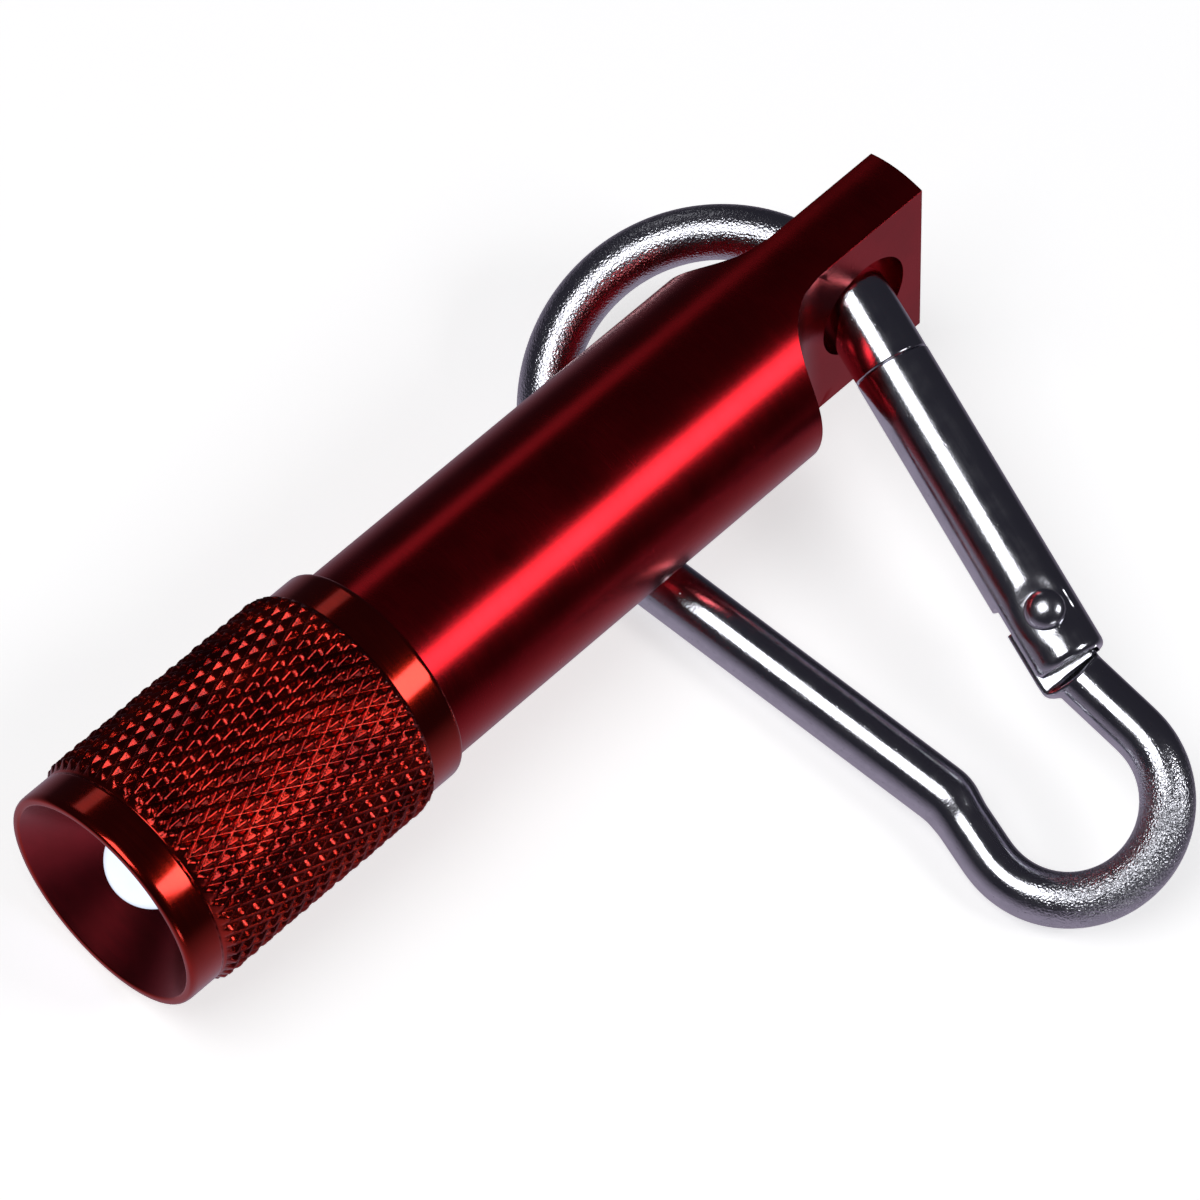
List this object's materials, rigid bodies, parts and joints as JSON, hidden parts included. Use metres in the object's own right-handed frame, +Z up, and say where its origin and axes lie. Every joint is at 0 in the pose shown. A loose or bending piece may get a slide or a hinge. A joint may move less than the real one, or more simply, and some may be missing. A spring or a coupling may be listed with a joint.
{
  "type": "keychain flashlight",
  "caption": "Small red anodised aluminium torch with knurled twist head and clear lamp, hung by its flat drilled tail on a pear-shaped snap hook with a sprung gate.",
  "frame": {"origin": "Middle of the assembly's footprint on the ground, at its lowest point, with the torch set down on its head rim and the snap hook leaning against it", "axes": "+X along the torch from its tail to its lamp, seen from above, +Z up, +Y to the side where the snap hook lies"},
  "size_m": [0.0594, 0.0459, 0.0167],
  "materials": {
    "body_anodise": "clear crimson anodise over turned aluminium",
    "head_anodise": "clear orange-red anodise over knurled and turned aluminium",
    "lamp_epoxy": "water-clear epoxy lamp body",
    "lamp_chip": "phosphor-coated lamp chip",
    "lead_tin": "tinned lead frame",
    "black_plastic": "moulded black plastic",
    "white_plastic": "thin white plastic tube",
    "seal_rubber": "black rubber seal",
    "contact_brass": "pressed brass",
    "board_green": "green circuit board",
    "cell_steel": "nickel-plated steel cell",
    "spring_wire": "spring steel wire",
    "hook_nickel": "nickel-plated drawn steel wire",
    "gate_nickel": "nickel-plated steel bar",
    "rivet_nickel": "nickel-plated steel rivet"
  },
  "bodies": {
    "torch": {"body_tube": "body_anodise", "neck_o_ring": "seal_rubber", "battery_sleeve": "white_plastic", "button_cell_1": "cell_steel", "button_cell_2": "cell_steel", "button_cell_3": "cell_steel", "button_cell_4": "cell_steel", "tail_spring": "spring_wire"},
    "head": {"head_shell": "head_anodise", "led_lens": "lamp_epoxy", "led_cathode": "lead_tin", "led_anode": "lead_tin", "led_chip": "lamp_chip", "led_holder": "black_plastic", "ground_ring": "contact_brass", "contact_board": "board_green", "contact_button": "contact_brass"},
    "carabiner": {"carabiner_frame": "hook_nickel", "gate_rivet": "rivet_nickel"},
    "gate": {"carabiner_gate": "gate_nickel", "gate_spring": "spring_wire", "gate_plunger": "lead_tin"}
  },
  "joints": [
    {"name": "head_twist", "type": "hinge", "parent": "torch", "child": "head", "pos_m": [0.01956, -0.01185, 0.00743], "axis": [0.9979, 0, -0.0645], "range_deg": [0, 150]},
    {"name": "hook_swing", "type": "hinge", "parent": "torch", "child": "carabiner", "pos_m": [-0.02485, -0.01185, 0.0103], "axis": [0.015, 0.9728, 0.2313], "range_deg": [0, 290]},
    {"name": "gate_open", "type": "hinge", "parent": "carabiner", "child": "gate", "pos_m": [-0.02076, 0.00854, 0.00751], "axis": [0.4959, 0.0437, 0.8673], "range_deg": [0, 15], "stiffness_Nm_per_rad": 0.01, "springref_deg": -57.3}
  ]
}
